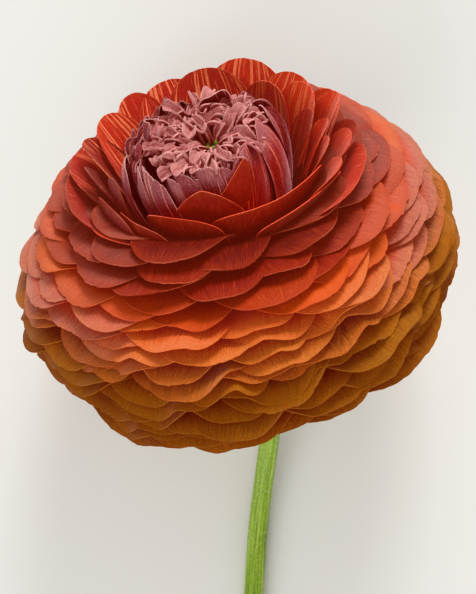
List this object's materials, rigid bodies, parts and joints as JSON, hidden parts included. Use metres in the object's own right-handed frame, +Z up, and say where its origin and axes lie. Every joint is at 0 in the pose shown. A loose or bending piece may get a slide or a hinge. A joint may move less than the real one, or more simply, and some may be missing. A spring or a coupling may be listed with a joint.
{
  "type": "ranunculus flower",
  "caption": "Double ranunculus bloom, a deep globe of layered red to amber petals round a crinkled mauve button, on a bent hollow green stem, picked and laid down on a surface.",
  "frame": {"origin": "on the surface the flower lies on, under the middle of its bounding box", "axes": "+Z up from the surface, +Y along the stem from its cut end towards the bloom, +X to the right seen from above"},
  "size_m": [0.1082, 0.248, 0.0979],
  "materials": {
    "stem_green": "fresh green stem, finely hairy, a little translucent",
    "sepal_green": "downy yellow-green sepal",
    "guard_petal": "satin brown-orange petal with fine veins",
    "amber_petal": "satin amber petal with fine veins",
    "orange_petal": "satin orange-red petal with fine veins",
    "crimson_petal": "velvety crimson petal with a pale hairline margin",
    "cup_petal": "velvety red petal, streaked orange inside",
    "button_petal": "wine-red petal, mauve and dusty towards its tip",
    "petaloid": "crinkled, dusty mauve-pink"
  },
  "bodies": {
    "root": {"stem": "stem_green", "sepals": "sepal_green", "guard_petals": "guard_petal", "amber_petals": "amber_petal", "orange_petals": "orange_petal", "crimson_petals": "crimson_petal", "cup_petals": "cup_petal", "button_petals": "button_petal", "petaloids": "petaloid"}
  },
  "joints": []
}
